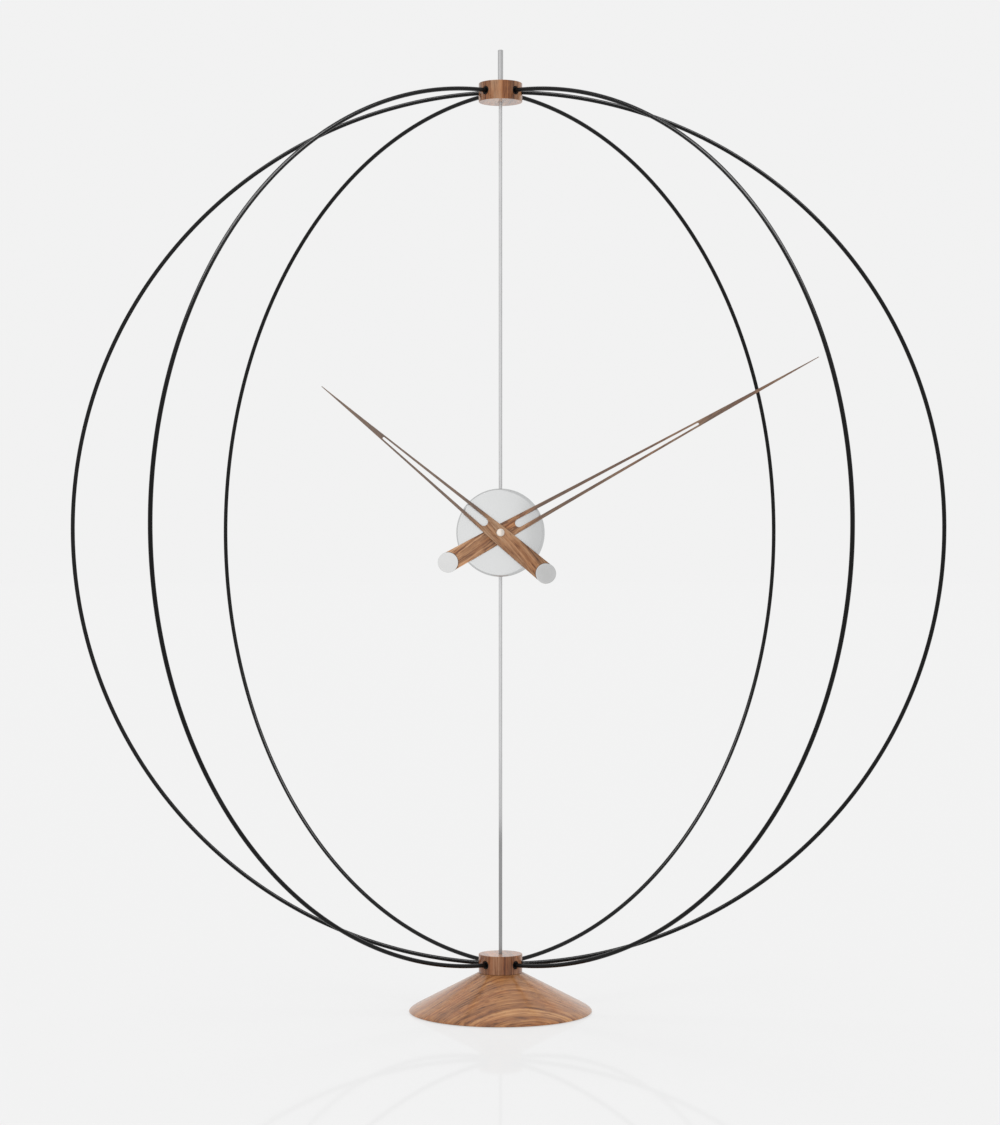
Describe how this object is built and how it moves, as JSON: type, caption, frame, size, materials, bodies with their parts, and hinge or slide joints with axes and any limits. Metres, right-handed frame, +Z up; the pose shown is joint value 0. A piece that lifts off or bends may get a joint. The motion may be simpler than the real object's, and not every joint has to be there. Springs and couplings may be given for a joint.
{
  "type": "floor clock",
  "caption": "Open globe floor clock: black half hoops between walnut collars on a walnut cone base, with a round metal case and slotted walnut hands on a thin steel rod.",
  "frame": {"origin": "centre of the base at floor level, on the centre rod's axis", "axes": "+Z up along the centre rod, -Y towards the viewer that the hands face, +X to that viewer's right"},
  "size_m": [0.9992, 0.718, 1.0974],
  "materials": {
    "walnut": "satin",
    "hoop_black": "satin",
    "socket_black": "matte",
    "satin_steel": "satin",
    "case_metal": "satin",
    "cap_metal": "satin",
    "brass": "satin",
    "black_steel": "satin",
    "case_plastic": "matte",
    "white_plastic": "satin",
    "board_green": "satin",
    "copper_wire": "satin",
    "cell_jacket": "satin",
    "felt": "matte"
  },
  "bodies": {
    "stand": {"base_cone": "walnut", "ballast_disc": "satin_steel", "ballast_screw_1": "black_steel", "ballast_screw_2": "black_steel", "ballast_screw_3": "black_steel", "foot_pad": "felt", "centre_rod": "satin_steel", "rod_nut": "satin_steel", "rod_washer": "satin_steel", "finial": "satin_steel", "lower_collar": "walnut", "lower_insert": "brass", "upper_collar": "walnut", "upper_insert": "brass", "hoop_right": "hoop_black", "hoop_left": "hoop_black", "hoop_back_right": "hoop_black", "hoop_front_left": "hoop_black", "hoop_back_left": "hoop_black", "hoop_front_right": "hoop_black", "upper_bush_right": "socket_black", "upper_bush_left": "socket_black", "upper_bush_back_right": "socket_black", "upper_bush_front_left": "socket_black", "upper_bush_back_left": "socket_black", "upper_bush_front_right": "socket_black", "lower_bush_right": "socket_black", "lower_bush_left": "socket_black", "lower_bush_back_right": "socket_black", "lower_bush_front_left": "socket_black", "lower_bush_back_left": "socket_black", "lower_bush_front_right": "socket_black", "drum_shell": "case_metal", "upper_rod_clamp": "satin_steel", "upper_clamp_screw": "black_steel", "lower_rod_clamp": "satin_steel", "lower_clamp_screw": "black_steel", "movement_case": "case_plastic", "movement_cover": "case_plastic", "movement_nut": "brass", "circuit_board": "board_green", "motor_coil": "copper_wire", "battery_cradle": "white_plastic", "battery": "cell_jacket", "positive_contact": "satin_steel", "negative_contact": "satin_steel"},
    "minute_hand": {"minute_blade": "walnut", "minute_weight": "satin_steel", "minute_weight_screw": "brass", "minute_pipe": "brass"},
    "hour_hand": {"hour_blade": "walnut", "hour_weight": "satin_steel", "hour_weight_screw": "brass", "hour_arbor": "satin_steel", "hour_wheel": "brass", "hour_cap": "cap_metal"},
    "motion_wheel": {"motion_wheel": "brass"},
    "set_knob": {"set_knob": "white_plastic"},
    "rear_cover": {"rear_cover": "case_metal"}
  },
  "joints": [
    {"name": "minute_hand_turn", "type": "hinge", "parent": "stand", "child": "minute_hand", "pos_m": [0, 0, 0.5462], "axis": [0, 1, 0], "continuous": true},
    {"name": "hour_hand_turn", "type": "hinge", "parent": "stand", "child": "hour_hand", "pos_m": [0, 0, 0.5462], "axis": [0, 1, 0], "continuous": true},
    {"name": "motion_wheel_turn", "type": "hinge", "parent": "stand", "child": "motion_wheel", "pos_m": [0.01131, 0, 0.53489], "axis": [0, 1, 0], "continuous": true},
    {"name": "set_knob_turn", "type": "hinge", "parent": "stand", "child": "set_knob", "pos_m": [0.01931, 0, 0.54874], "axis": [0, 1, 0], "continuous": true},
    {"name": "rear_cover_pull", "type": "slide", "parent": "stand", "child": "rear_cover", "axis": [0, 1, 0], "range_m": [0, 0.03]}
  ],
  "couplings": [
    {"joint": "hour_hand_turn", "follows": "minute_hand_turn", "ratio": 0.083333},
    {"joint": "motion_wheel_turn", "follows": "minute_hand_turn", "ratio": -0.33333},
    {"joint": "set_knob_turn", "follows": "minute_hand_turn", "ratio": 1}
  ]
}
